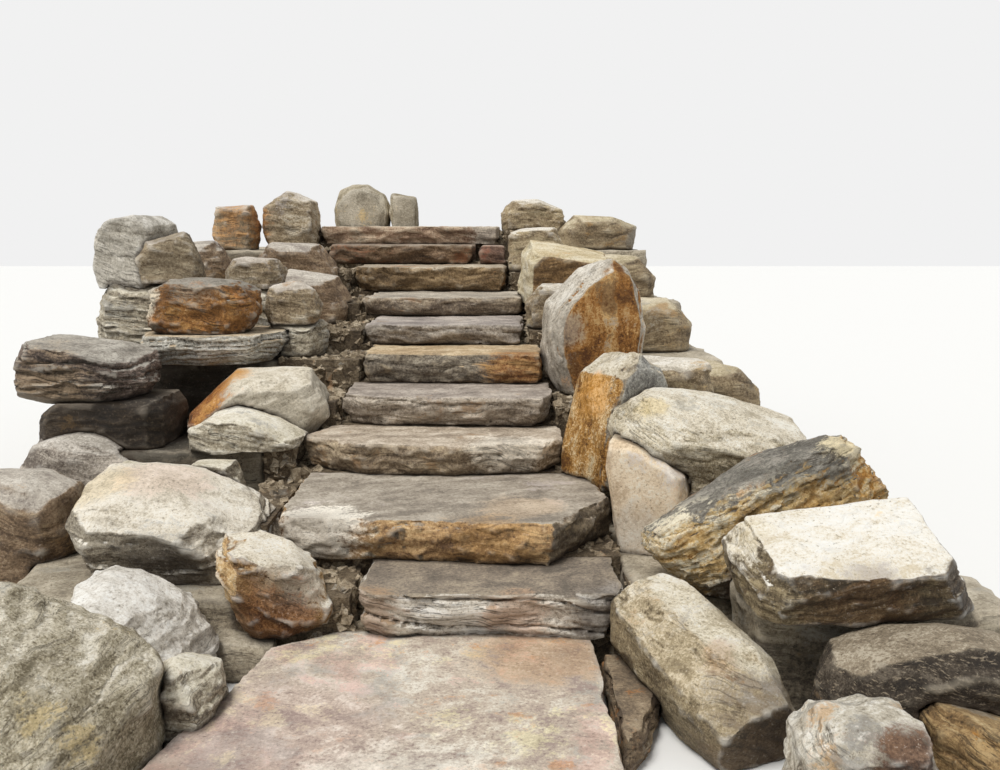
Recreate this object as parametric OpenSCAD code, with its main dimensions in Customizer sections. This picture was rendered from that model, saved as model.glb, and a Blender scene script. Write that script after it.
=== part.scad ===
// Garden steps of split stone slabs, climbing between banks of dry-laid boulders.
// x runs across the flight, y up the flight and z up. The origin is on the ground,
// under the middle of the landing slab. All sizes are in millimetres.

/* [Flight] */
// Mean rise from one tread to the next
rise = 160; // [145:5:180]
// Mean going from one nose to the next
going = 528; // [460:4:600]
// Mean width of a step slab
slab_w = 1160; // [1040:10:1280]
// Length by which a slab is bedded on the one below it
lap = 90; // [60:5:130]
// How far the split edge of a slab wanders from its line
split = 12; // [4:1:13]

/* [Landing] */
// Thickness of the landing slab
landing_t = 160; // [120:5:200]
// Width of the landing slab
landing_w = 1400; // [1250:10:1500]
// Depth of the landing slab in front of the first nose
landing_d = 1400; // [1200:10:1500]

/* [Banks] */
// Thickness of the hidden walls that carry the boulders
wall_t = 950; // [850:10:1100]
// Thickness of the back wall
back_t = 520; // [420:10:620]
// Strip of rubble between the last tread and the back wall
strip = 420; // [340:10:500]
// Open joint between two stones
joint = 16; // [14:1:22]
// Drop from a tread to the rubble beside it
shoulder = 45; // [30:5:70]
// Thickness of the grit that beds a boulder
bed = 0.4; // [0.3:0.1:0.8]
// How far the broken face of a boulder wanders
rough = 20; // [8:1:30]

/* [Hidden] */
LEFT = -1;
RIGHT = 1;
PALE = "#d3c8b2";
GREY = "#a39c92";
OCHRE = "#bd8d52";
BROWN = "#94785a";
RUBBLE = "#7a6b5a";
// How far the seat of the pale block rises over the first shelf
PALE_SEAT = 115;

// Each step: its rise, going and width as shares of the means, and its middle across the flight
STEPS = [
    [1.13, 0.70, 0.90, 294],
    [1.14, 1.44, 1.27, 110],
    [1.00, 0.81, 1.14, -20],
    [1.04, 0.85, 0.98, 45],
    [1.08, 0.78, 0.90, 65],
    [0.80, 1.16, 0.84, -10],
    [0.78, 1.27, 0.94, -45],
    [1.14, 1.04, 0.98, -185],
    [0.95, 0.95, 0.99, -440],
    [0.91, 0.95, 1.28, -412],
];
LAST = len(STEPS);
// How far the first nose stands short of the landing's half depth
SET_BACK = 50;
// Stretch at the back of a slab that stays straight, hidden under the next slab
TAIL = 60;
// A line past the back of any slab, for the slabs whose whole edge is broken
PAST = 5000;

function sum_to(k, column) = k < 1 ? 0 : STEPS[k - 1][column] + sum_to(k - 1, column);
function top(k) = landing_t + rise * sum_to(k, 0);
function shelf(k) = top(k) - shoulder;
function nose(k) = k > LAST ? core_back - lap : landing_d / 2 - SET_BACK + going * sum_to(k - 1, 1);
function depth(k) = going * STEPS[k - 1][1] + lap;
function width(k) = slab_w * STEPS[k - 1][2];
function middle(k) = STEPS[k - 1][3];
function end(side, k) = middle(k) + side * width(k) / 2;
function mix(a, b, t) = a + (b - a) * t;

// Sides of the rubble core, straight from the first nose to the last, and how far they stand out
// past the slabs there
OUT_LEFT = [70, 125];
OUT_RIGHT = [60, 220];
core_back = nose(LAST) + depth(LAST) + strip;
function core_side(side, y) =
    let (foot = side == LEFT ? end(LEFT, 2) - OUT_LEFT[0] : end(RIGHT, 1) + OUT_RIGHT[0],
        head = side == LEFT ? end(LEFT, LAST) - OUT_LEFT[1] : end(RIGHT, LAST) + OUT_RIGHT[1])
            mix(foot, head, (y - nose(1)) / (nose(LAST) - nose(1)));

// Extra points along each side of an outline, about grain apart
function divided(outline, grain) = [
    for (i = [0 : len(outline) - 1])
        let (a = outline[i], b = outline[(i + 1) % len(outline)], n = max(1, round(norm(b - a) / grain)))
            for (j = [0 : n - 1]) mix(a, b, j / n)];

// The same points, each moved by up to wander either way
function broken(points, wander, seed) =
    let (r = rands(-wander, wander, 2 * len(points), seed))
        [for (i = [0 : len(points) - 1]) points[i] + [r[2 * i], r[2 * i + 1]]];

function sum(numbers) = numbers * [for (n = numbers) 1];
function centre(points) = [for (axis = [0, 1]) sum([for (p = points) p[axis]]) / len(points)];

// A solid through rings of as many points each
module loft(rings) {
    n = len(rings[0]);
    last = (len(rings) - 1) * n;
    polyhedron(
        points = [for (ring = rings) each ring],
        faces = concat(
            [[for (i = [0 : n - 1]) i]],
            [[for (i = [n - 1 : -1 : 0]) last + i]],
            [for (j = [0 : len(rings) - 2], i = [0 : n - 1])
                let (a = j * n + i, b = j * n + (i + 1) % n)
                    each [[a, a + n, b + n], [a, b + n, b]]]));
}

// A solid through rings that are each as good as convex: one hull from each ring to the next
module hulled(rings) {
    for (i = [0 : len(rings) - 2])
        let (points = concat(rings[i], rings[i + 1]))
            hull() polyhedron(points, [[for (j = [0 : len(points) - 1]) j]]);
}

// A slab split along its bed: flat below and above, with a broken edge of several beds.
// Each bed is a height and an inset. The edge past back is straight
module slab(outline, beds, back, seed, grain = 130) {
    points = divided(outline, grain);
    c = centre(points);
    loft([for (i = [0 : len(beds) - 1])
        let (moved = broken(points, split, seed + i))
            [for (j = [0 : len(points) - 1])
                let (p = points[j], q = moved[j], inset = beds[i][1] / norm(p - c))
                    p[1] > back ? [p[0], p[1], beds[i][0]] : concat(q + (c - p) * inset, beds[i][0])]]);
}

// A slab of plain beds, each extruded, for the faces that something else may stand on
module bedded(outline, beds, back, seed, grain = 150) {
    points = divided(outline, grain);
    c = centre(points);
    for (i = [0 : len(beds) - 2])
        let (moved = broken(points, split, seed + i))
            translate([0, 0, beds[i][0]])
                linear_extrude(beds[i + 1][0] - beds[i][0])
                    polygon([for (j = [0 : len(points) - 1])
                        let (p = points[j])
                            p[1] > back ? p : moved[j] + (c - p) * beds[i][1] / norm(p - c)]);
}

// A boulder drawn by its outline as seen from the foot of the flight. Each station is
// a share of its depth, from back to front, with the scale of the outline there
ROUND = [[-0.5, 0.6], [-0.3, 0.9], [0, 1], [0.34, 0.94], [0.5, 0.7]];
BLOCK = [[-0.5, 0.8], [-0.38, 1], [0.36, 1], [0.5, 0.84]];
WEDGE = [[-0.5, 0.72], [-0.34, 0.92], [0.2, 1], [0.5, 0.74]];
module boulder(outline, deep, seed, stations = ROUND, grain = 230) {
    points = divided(outline, grain);
    c = centre(points);
    rotate([90, 0, 0])
        hulled([for (i = [0 : len(stations) - 1])
            let (moved = broken(points, rough, seed + i))
                [for (p = moved) concat(c + (p - c) * stations[i][1], stations[i][0] * deep)]]);
}

// Seats a boulder beside step k: out from the end of its slab, along past its nose, and bedded
// flat at height z
module seated(side, k, out, along, z) {
    sink = rough + 5;
    reach = 9000;
    difference() {
        translate([end(side, k) + side * out, nose(k) + along, z - sink]) children();
        translate([-reach, -reach, z - reach]) cube([2 * reach, 2 * reach, reach + (z > 0 ? bed : 0)]);
    }
}

// Treads and landing

function edge_beds(t, insets) = [[0, insets[0]], [t * 0.25, insets[1]], [t * 0.55, insets[2]],
    [t * 0.86, insets[3]], [t, insets[3] + 14]];

function step_outline(k, outline) = [for (p = outline) [p[0] * width(k) / 2, p[1] * depth(k)]];

module step_form(k, outline, insets) {
    translate([middle(k), nose(k), top(k - 1)])
        slab(step_outline(k, outline), edge_beds(top(k) - top(k - 1), insets), depth(k) - TAIL, 40 + 10 * k);
}

module landing_slab() {
    back = nose(1) + lap;
    half = landing_w / 2;
    color(BROWN)
        bedded([[-half, -0.5 * landing_d], [-0.4 * half, -0.54 * landing_d], [0.75 * half, -0.52 * landing_d],
                [half, -0.2 * landing_d], [0.98 * half, 0.3 * landing_d], [0.98 * half, back],
                [-0.45 * half, back], [-0.75 * half, 0.42 * landing_d], [-1.02 * half, -0.17 * landing_d]],
            [[0, 26], [0.45 * landing_t, 0], [landing_t, 0]], back - TAIL, 3, 220);
}

module landing_chip() {
    color(GREY)
        translate([0.98 * landing_w / 2 + 2 * joint, 0, 0])
            slab([[0, -130], [90, 30], [190, 330], [180, 600], [0, 610]],
                [[0, 10], [60, 0], [105, 6], [128, 26]], PAST, 9, 160);
}

module step_1() {
    color(GREY)
        step_form(1,
            [[-1, 0.12], [-0.86, 0], [0.1, 0.02], [0.95, 0], [1, 0.2], [0.98, 1], [-0.96, 1], [-1, 0.5]],
            [60, 34, 18, 4]);
}

module step_2() {
    color(BROWN)
        step_form(2,
            [[-0.97, 0.1], [-0.9, 0.05], [0.6, -0.06], [1, 0.46], [0.9, 0.78], [0.86, 1],
                [-0.98, 1], [-1, 0.3]],
            [30, 10, 0, 0]);
}

module step_3() {
    color(GREY)
        step_form(3, [[-1, 0.42], [-0.5, 0.02], [0.2, -0.04], [0.86, 0.1], [1, 0.3], [1, 1], [-0.85, 1]],
            [50, 24, 6, 0]);
}

module step_4() {
    color(GREY)
        step_form(4, [[-1, 0.2], [-0.7, 0.06], [0, 0], [0.9, -0.04], [1, 0.2], [0.98, 1], [-0.98, 1]],
            [60, 36, 10, 0]);
}

module step_5() {
    color(BROWN)
        step_form(5, [[-1, 0.08], [0, 0.02], [0.96, -0.04], [1, 0.3], [0.96, 1], [-1, 1]], [26, 8, 0, 4]);
}

module step_6() {
    color(GREY)
        step_form(6, [[-1, 0.1], [-0.5, 0], [0.4, 0.06], [0.98, 0], [1, 0.4], [1, 1], [-1, 1]],
            [50, 26, 14, 0]);
}

module step_7() {
    color(GREY)
        step_form(7, [[-1, 0.12], [-0.6, 0], [0.5, 0.02], [0.95, 0.08], [1, 0.4], [0.97, 1], [-0.97, 1]],
            [40, 10, 0, 4]);
}

module step_8() {
    color(BROWN)
        step_form(8, [[-1, 0.2], [-0.8, 0.02], [0.3, 0.03], [0.96, 0], [1, 0.4], [0.98, 1], [-0.96, 1]],
            [44, 20, 4, 0]);
}

module step_9() {
    color(BROWN)
        step_form(9, [[-1, 0.1], [-0.3, 0.03], [0.98, 0.05], [1, 0.4], [0.98, 1], [-1, 1]], [50, 30, 14, 0]);
}

module step_10() {
    t = top(10) - top(9);
    color(BROWN)
        translate([middle(10), nose(10), top(9)])
            bedded(step_outline(10, [[-1, 0.06], [0, 0], [0.98, -0.03], [1, 0.4], [0.96, 1], [-0.98, 1]]),
                [[0, 34], [t * 0.3, 12], [t * 0.65, 0], [t, 0]], depth(10) - TAIL, 140);
}

// Two short blocks that lengthen step 9 to the right
module step_9_blocks() {
    t = top(9) - top(8);
    color(BROWN)
        for (block = [[2.5 * joint, 200, 0, 0.96], [4.5 * joint + 210, 130, 20, 0.86]])
            translate([end(RIGHT, 9) + block[0], nose(9) + block[2], top(8)])
                slab([[0, 0], [block[1], 10], [block[1] - 10, depth(9) - 160], [0, depth(9) - 150]],
                    [[0, 12], [50, 0], [100, 4], [t * block[3], 22]], PAST, 70 + block[1], 190);
}

// The hidden work that carries the flight

// The place that slab k takes in the core, with a joint round it
module slab_seat(k) {
    blocks = k == 9 ? 6 * joint + 340 : 0;
    translate([end(LEFT, k) - 2 * joint, nose(k) - lap, top(k - 1)])
        cube([width(k) + 4 * joint + blocks, depth(k) + lap, rise * 3]);
}

// The core is packed in benches, one behind the nose of each slab
module rubble_core() {
    color(RUBBLE)
        for (k = [1 : LAST])
            let (front = nose(k) + lap + bed, back = nose(k + 1) + lap)
                difference() {
                    linear_extrude(shelf(k))
                        polygon([[core_side(LEFT, front), front], [core_side(RIGHT, front), front],
                            [core_side(RIGHT, back), back], [core_side(LEFT, back), back]]);
                    slab_seat(k);
                }
}

// A wall stone, flat where it beds and broken at its face, which is at y = 0 before it is turned
module wall_stone(length, thick, high, seed) {
    points = divided([[joint, 0], [length - joint, 0], [length - joint, thick], [joint, thick]], 330);
    hulled([for (bed_line = [[0, 16], [0.4, 0], [1, 30]])
        let (moved = broken(points, split, seed + 10 * bed_line[0]))
            [for (i = [0 : len(points) - 1])
                let (p = points[i], q = p[1] > thick / 2 ? [moved[i][0], p[1]] : moved[i] + [0, bed_line[1]])
                    concat(q, bed_line[0] * high)]]);
}

// A row of wall stones. Each share is a part of the length of the row
module wall_row(length, thick, high, shares, seed) {
    for (i = [0 : len(shares) - 1])
        let (laid = i == 0 ? 0 : sum([for (j = [0 : i - 1]) shares[j]]))
            translate([length * laid / sum(shares), 0, 0])
                wall_stone(length * shares[i] / sum(shares), thick, high, seed + 7 * i);
}

// One course of the banks' walls, from the nose of step k to the back, between two heights.
// The stones of the sides and of the back lie against the core
module base_course(k, low, high, left_shares, right_shares, back_shares, seed) {
    from = nose(k) + lap;
    length = core_back - from;
    left_turn = atan((core_side(LEFT, from) - core_side(LEFT, core_back)) / length);
    right_turn = atan((core_side(RIGHT, from) - core_side(RIGHT, core_back)) / length);
    side_length = length - wall_t * sin(right_turn) - joint;
    back_left = core_side(LEFT, core_back) - wall_t;
    back_right = core_side(RIGHT, core_back) + wall_t;
    translate([0, 0, low]) {
        translate([core_side(LEFT, from) - bed, from, 0])
            rotate([0, 0, left_turn]) translate([-wall_t, side_length, 0])
                rotate([0, 0, -90]) wall_row(side_length, wall_t, high - low, left_shares, seed);
        translate([core_side(RIGHT, from) + bed, from, 0])
            rotate([0, 0, right_turn]) translate([wall_t, 0, 0])
                rotate([0, 0, 90]) wall_row(side_length, wall_t, high - low, right_shares, seed + 1);
        translate([back_right, core_back + bed + back_t, 0])
            rotate([0, 0, 180]) wall_row(back_right - back_left, back_t, high - low, back_shares, seed + 2);
    }
}

module base_course_1() {
    color(GREY) {
        base_course(1, 0, shelf(1), [9, 11, 8, 10, 9, 12], [12, 9, 10, 8, 11, 9], [10, 8, 11, 9], 200);
        translate([end(LEFT, 1) - 570, nose(1) - 60, 0])
            wall_stone(280, lap + 60, landing_t, 250);
        translate([end(RIGHT, 1) + 390, nose(1) - 350, 0])
            wall_stone(wall_t, lap + 320, shelf(1) + PALE_SEAT, 260);
    }
}

module base_course_2() {
    color(BROWN)
        base_course(3, shelf(1), shelf(3), [9, 10, 8, 10], [10, 9, 11, 8], [8, 11, 9, 10], 300);
}

module base_course_3() {
    color(GREY)
        base_course(5, shelf(3), shelf(5), [8, 10, 9, 8], [9, 11, 8], [10, 9, 8, 11], 400);
}

module base_course_4() {
    color(BROWN)
        base_course(7, shelf(5), shelf(7), [9, 8, 10], [10, 8, 9], [9, 10, 11, 8], 500);
}

module base_course_5() {
    color(GREY)
        base_course(9, shelf(7), shelf(9), [8, 9], [9, 8], [11, 8, 10, 9], 600);
}

// The right bank, from the foot of the flight up

module right_curb_block() {
    color(PALE)
        difference() {
            seated(RIGHT, 1, 160, -262, 0)
                rotate([14, 0, 22])
                    boulder([[-60, -20], [150, -20], [220, 140], [215, 330], [130, 410], [-40, 385],
                        [-180, 300], [-165, 180], [-120, 60]], 800, 11, WEDGE, 260);
            landing_chip();
            step_1();
            rubble_core();
            base_course_1();
        }
}

module right_corner_boulder() {
    color(PALE)
        seated(RIGHT, 1, 520, -1010, 0)
            boulder([[-210, 0], [210, 0], [200, 180], [150, 400], [100, 420], [-120, 400], [-180, 340]],
                400, 13);
}

module right_outer_boulder() {
    color(OCHRE)
        seated(RIGHT, 1, 960, -900, 0)
            rotate([0, 0, 20])
                boulder([[-180, 0], [220, 0], [230, 250], [-120, 360], [-180, 330]], 420, 15);
}

module right_speckled_boulder() {
    color(BROWN)
        difference() {
            seated(RIGHT, 1, 860, -600, 0)
                boulder([[-330, -30], [380, -30], [400, 350], [330, 440], [120, 480], [-80, 460],
                    [-280, 400], [-340, 300]], 480, 17);
            base_course_1();
            right_corner_boulder();
            right_outer_boulder();
        }
}

module right_pale_block() {
    color(PALE)
        difference() {
            seated(RIGHT, 1, 735, -200, shelf(1) + PALE_SEAT)
                rotate([16, -6, 5])
                    boulder([[-350, 0], [320, -30], [395, 60], [310, 285], [-290, 285], [-360, 205]],
                        480, 19, BLOCK, 260);
            base_course_1();
            right_curb_block();
            right_speckled_boulder();
        }
}

module right_flaky_slab() {
    color(OCHRE)
        difference() {
            seated(RIGHT, 1, 555, 265, shelf(1))
                rotate([-6, 0, 6])
                    boulder([[-480, 200], [-300, 90], [-200, -40], [320, -40], [520, 240], [530, 380],
                        [370, 610], [280, 620], [60, 550], [-250, 380], [-450, 260]], 440, 21);
            base_course_1();
            right_curb_block();
            right_pale_block();
        }
}

module right_upright_slab() {
    color(PALE)
        difference() {
            seated(RIGHT, 2, 140, 380, shelf(1))
                rotate([0, 0, -18])
                    boulder([[-100, -30], [170, -30], [210, 300], [180, 390], [60, 470], [-60, 535],
                        [-150, 525], [-170, 400], [-120, 170]], 290, 23, BLOCK);
            step_2();
            rubble_core();
            base_course_1();
            right_curb_block();
            right_flaky_slab();
        }
}

module right_speckled_slab() {
    color(PALE)
        difference() {
            seated(RIGHT, 2, 460, 620, shelf(1) + 260)
                rotate([14, 0, -4])
                    boulder([[-470, 260], [-330, 230], [-200, 110], [-40, 0], [60, -20], [200, -260],
                        [420, -260], [480, 200], [430, 270], [270, 340], [0, 410], [-280, 440], [-440, 350]],
                        640, 25);
            base_course_1();
            base_course_2();
            right_upright_slab();
            right_flaky_slab();
        }
}

module right_leaning_slab() {
    color(OCHRE)
        difference() {
            seated(RIGHT, 3, 205, 60, shelf(2))
                rotate([0, 0, 36])
                    boulder([[-160, -20], [40, -20], [100, 60], [140, 250], [140, 350], [190, 480],
                        [270, 560], [250, 620], [110, 660], [-30, 570], [-100, 400], [-160, 200]],
                        360, 27, BLOCK);
            rubble_core();
            step_2();
            step_3();
            step_4();
            base_course_1();
            base_course_2();
            right_upright_slab();
            right_speckled_slab();
        }
}

module right_pointed_slab() {
    color(OCHRE)
        difference() {
            seated(RIGHT, 5, 245, 60, shelf(4))
                rotate([0, 0, 12])
                    boulder([[-140, -20], [60, -20], [180, 60], [260, 200], [280, 420], [240, 600],
                        [190, 740], [90, 770], [-60, 680], [-190, 520], [-250, 380], [-230, 220]],
                        420, 29, BLOCK);
            rubble_core();
            step_5();
            step_6();
            base_course_2();
            base_course_3();
        }
}

module right_square_block() {
    color(PALE)
        difference() {
            seated(RIGHT, 7, 275, 220, shelf(7))
                rotate([8, 0, 4])
                    boulder([[-300, 0], [270, 0], [320, 140], [280, 330], [-240, 420], [-290, 330]],
                        520, 31, BLOCK);
            rubble_core();
            step_7();
            step_8();
            base_course_3();
            base_course_4();
        }
}

// Smaller stones of the right bank, from the lowest up
module right_upper_stones() {
    color(PALE)
        difference() {
            union() {
                seated(RIGHT, 3, 540, 330, shelf(3))
                    boulder([[-210, 0], [210, 0], [230, 300], [190, 430], [-120, 440], [-210, 390]],
                        360, 33, BLOCK);
                seated(RIGHT, 6, 130, 300, shelf(6))
                    boulder([[-90, 0], [60, 0], [130, 130], [120, 300], [-20, 300], [-120, 190]], 330, 35);
                seated(RIGHT, 8, 200, 330, shelf(8))
                    boulder([[-170, 0], [200, 0], [230, 200], [170, 340], [-60, 350], [-180, 300]],
                        400, 37, BLOCK);
                seated(RIGHT, 10, 265, 330, shelf(9))
                    boulder([[-240, 0], [240, 0], [290, 220], [250, 350], [60, 440], [-160, 420],
                        [-250, 330]], 420, 39, BLOCK);
            }
            rubble_core();
            step_9_blocks();
            step_10();
            base_course_2();
            base_course_3();
            base_course_4();
            base_course_5();
            right_speckled_slab();
            right_leaning_slab();
            right_pointed_slab();
            right_square_block();
        }
}

// Outer stones of the right bank, behind the ones that face the flight
module right_outer_stones() {
    color(BROWN)
        difference() {
            union() {
                seated(RIGHT, 4, 800, 300, shelf(3))
                    boulder([[-330, 0], [320, 0], [340, 220], [200, 380], [-180, 400], [-330, 260]], 560, 41);
                seated(RIGHT, 6, 740, 300, shelf(5))
                    boulder([[-300, 0], [300, 0], [330, 200], [180, 330], [-160, 340], [-310, 220]], 600, 43);
                seated(RIGHT, 8, 760, 10, shelf(7))
                    boulder([[-330, 0], [300, 0], [320, 190], [160, 340], [-200, 330], [-320, 200]], 640, 45);
                seated(RIGHT, 10, 800, 60, shelf(9))
                    boulder([[-320, 0], [300, 0], [310, 200], [140, 300], [-180, 320], [-320, 180]], 620, 47);
            }
            base_course_2();
            base_course_3();
            base_course_4();
            base_course_5();
            right_upper_stones();
            right_square_block();
        }
}

// The left bank, from the foot of the flight up

module left_front_boulder() {
    color(PALE)
        seated(LEFT, 1, 830, -750, 0)
            rotate([8, 0, -8])
                boulder([[-370, -60], [280, -60], [350, 200], [330, 410], [200, 510], [0, 600],
                    [-200, 660], [-360, 670]], 640, 51);
}

module left_rusty_corner() {
    color(BROWN)
        difference() {
            seated(LEFT, 1, 340, 170, landing_t)
                rotate([0, 0, 14])
                    boulder([[-80, -20], [60, -20], [160, 30], [215, 110], [155, 280], [70, 365], [-70, 398],
                        [-185, 365], [-210, 250], [-190, 150]], 400, 53);
            base_course_1();
            step_1();
            step_2();
            rubble_core();
        }
}

module left_wavy_boulder() {
    color(PALE)
        difference() {
            seated(LEFT, 1, 730, -150, 0)
                rotate([10, 0, -10])
                    boulder([[-210, -70], [180, -70], [220, 200], [150, 330], [30, 450], [-80, 520],
                        [-200, 500], [-230, 300]], 520, 55);
            base_course_1();
            left_front_boulder();
        }
}

module left_broad_boulder() {
    color(PALE)
        difference() {
            seated(LEFT, 2, 420, 200, shelf(1))
                rotate([14, 0, 0])
                    boulder([[-360, 150], [-260, -20], [-100, -40], [350, -40], [430, 120], [340, 250],
                        [150, 350], [-50, 410], [-220, 420], [-380, 400], [-410, 330]], 660, 57);
            base_course_1();
            rubble_core();
            step_2();
            left_rusty_corner();
            left_wavy_boulder();
        }
}

// Low stones beside the treads, some at the foot of the bank and three that carry others
module left_small_stones() {
    color(PALE)
        difference() {
            union() {
                seated(LEFT, 1, 480, -550, 0)
                    boulder([[-70, -30], [50, -30], [110, 120], [115, 220], [80, 310], [-20, 350],
                        [-110, 310], [-120, 150]], 320, 59);
                seated(LEFT, 2, 410, 580, shelf(1))
                    boulder([[-130, 0], [130, 0], [150, 240], [120, 370], [-60, 390], [-150, 300]], 330, 61);
                seated(LEFT, 3, 245, 200, shelf(3))
                    boulder([[-280, 20], [-200, -20], [210, -20], [280, 70], [120, 160], [-90, 215],
                        [-200, 190], [-290, 110]], 360, 63);
                seated(LEFT, 5, 445, 360, shelf(5))
                    boulder([[-160, 0], [160, 0], [185, 110], [150, 220], [-140, 230], [-180, 120]], 360, 65);
                seated(LEFT, 2, 790, 690, shelf(1))
                    boulder([[-150, 0], [150, 0], [175, 160], [130, 310], [-60, 345], [-160, 260]], 260, 62);
                seated(LEFT, 6, 725, 345, shelf(5))
                    boulder([[-180, 0], [180, 0], [200, 160], [190, 300], [110, 420], [-120, 410],
                        [-195, 270]], 400, 66);
                seated(LEFT, 6, 1290, 40, shelf(5))
                    boulder([[-260, 0], [250, 0], [290, 180], [270, 370], [140, 460], [-180, 470],
                        [-290, 360], [-300, 170]], 520, 68);
            }
            landing_slab();
            rubble_core();
            step_2();
            step_3();
            step_4();
            base_course_1();
            base_course_2();
            base_course_3();
            base_course_4();
            left_front_boulder();
            left_wavy_boulder();
            left_broad_boulder();
            left_low_boulder();
            left_cave_slab();
            left_rusty_boulder();
        }
}

module left_sloping_boulder() {
    color(PALE)
        difference() {
            seated(LEFT, 4, 440, 150, shelf(3))
                rotate([6, 0, 12])
                    boulder([[-380, 60], [-200, 0], [250, 0], [390, 150], [370, 240], [280, 350],
                        [60, 365], [-150, 350], [-260, 250], [-390, 130]], 520, 67);
            base_course_2();
            rubble_core();
            step_4();
            step_5();
            left_small_stones();
        }
}

module left_low_boulder() {
    color(GREY)
        difference() {
            seated(LEFT, 3, 1060, 150, 0)
                boulder([[-220, -20], [220, -20], [280, 300], [275, 600], [200, 700], [70, 760],
                    [-90, 765], [-220, 700], [-280, 590], [-285, 300]], 520, 69);
            base_course_1();
            base_course_2();
            left_broad_boulder();
        }
}

module left_bearing_boulder() {
    color(BROWN)
        difference() {
            seated(LEFT, 3, 1000, 330, shelf(3))
                boulder([[-310, 0], [310, 0], [315, 200], [290, 270], [-200, 270], [-290, 200]],
                    520, 71, BLOCK);
            base_course_2();
            left_low_boulder();
        }
}

module left_layered_boulder() {
    color(GREY)
        difference() {
            seated(LEFT, 3, 1100, 370, shelf(3) + 220)
                boulder([[-330, 70], [-100, 0], [200, 0], [340, 130], [300, 250], [150, 320], [-150, 350],
                    [-280, 340], [-350, 210]], 600, 73);
            base_course_3();
            left_bearing_boulder();
        }
}

// The flat slab that bridges the hollow in the left bank
module left_cave_slab() {
    color(GREY)
        difference() {
            translate([end(LEFT, 5) - 870, nose(5) - 30, shelf(5)])
                slab([[-390, 60], [-300, -160], [0, -250], [300, -150], [420, 60], [400, 480], [-360, 480]],
                    [[0, 90], [50, 34], [120, 0], [170, 20]], PAST, 75, 200);
            left_layered_boulder();
        }
}

module left_rusty_boulder() {
    color(OCHRE)
        difference() {
            seated(LEFT, 5, 900, 60, shelf(5) + 150)
                boulder([[-310, 80], [-200, 0], [200, 0], [330, 160], [300, 280], [200, 340],
                    [-150, 350], [-290, 270]], 440, 77);
            left_cave_slab();
        }
}

module left_high_boulder() {
    color(PALE)
        difference() {
            seated(LEFT, 6, 1370, 60, shelf(5) + 400)
                rotate([0, 0, -10])
                    boulder([[-150, -20], [160, -20], [185, 200], [160, 400], [60, 470], [-90, 450],
                        [-180, 330], [-190, 120]], 460, 79, BLOCK);
            left_small_stones();
        }
}

// Smaller stones of the left bank above the hollow
module left_upper_stones() {
    color(OCHRE)
        difference() {
            union() {
                seated(LEFT, 5, 445, 360, shelf(5) + 190)
                    boulder([[-140, -20], [130, -20], [150, 120], [120, 230], [20, 270], [-130, 250],
                        [-160, 110]], 320, 64);
                seated(LEFT, 6, 725, 345, shelf(5) + 385)
                    boulder([[-170, -20], [160, -20], [185, 110], [150, 200], [-130, 225], [-190, 120]],
                        340, 81);
                seated(LEFT, 6, 1130, 10, shelf(5) + 435)
                    rotate([0, -12, 14])
                        boulder([[-180, 0], [150, -30], [180, 130], [150, 290], [-100, 300], [-190, 200]],
                            430, 82, BLOCK);
                seated(LEFT, 9, 790, 300, shelf(9))
                    boulder([[-150, 0], [150, 0], [160, 210], [130, 370], [-130, 380], [-160, 180]],
                        360, 83, BLOCK);
                seated(LEFT, 10, 205, 30, shelf(9))
                    boulder([[-210, 0], [150, 0], [172, 250], [150, 430], [-30, 500], [-220, 380],
                        [-250, 200]], 400, 85, BLOCK);
            }
            rubble_core();
            step_10();
            base_course_3();
            base_course_4();
            base_course_5();
            left_cave_slab();
            left_rusty_boulder();
            left_high_boulder();
            left_small_stones();
        }
}

// Outer stones of the left bank, behind the ones that face the flight
module left_outer_stones() {
    color(BROWN)
        difference() {
            union() {
                seated(LEFT, 7, 400, 200, shelf(5))
                    boulder([[-300, 0], [260, 0], [320, 260], [200, 470], [-120, 500], [-310, 300]], 520, 87);
                seated(LEFT, 8, 420, 120, shelf(7))
                    boulder([[-320, 0], [260, 0], [330, 220], [180, 420], [-160, 440], [-330, 260]], 620, 89);
                seated(LEFT, 8, 1100, -140, shelf(7))
                    boulder([[-300, 0], [280, 0], [300, 240], [160, 430], [-180, 420], [-310, 230]], 640, 91);
                seated(LEFT, 2, 1270, 375, 0)
                    boulder([[-270, -20], [290, -20], [350, 200], [350, 450], [310, 600], [120, 680],
                        [-120, 690], [-300, 620], [-350, 300]], 520, 92);
            }
            rubble_core();
            base_course_1();
            left_low_boulder();
            left_broad_boulder();
            left_wavy_boulder();
            left_small_stones();
            base_course_3();
            base_course_4();
            base_course_5();
            left_high_boulder();
            left_upper_stones();
        }
}

// Two stones behind the last tread
module top_stones() {
    color(PALE)
        difference() {
            union() {
                seated(LEFT, 10, -235, depth(10) + 215, shelf(10))
                    boulder([[-240, 0], [230, 0], [260, 200], [200, 360], [60, 440], [-80, 450],
                        [-200, 380], [-260, 220]], 360, 93);
                seated(LEFT, 10, -635, depth(10) + 200, shelf(10))
                    boulder([[-120, 0], [120, 0], [110, 200], [90, 340], [-100, 350], [-130, 200]],
                        300, 95, BLOCK);
            }
            rubble_core();
            step_10();
        }
}

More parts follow.
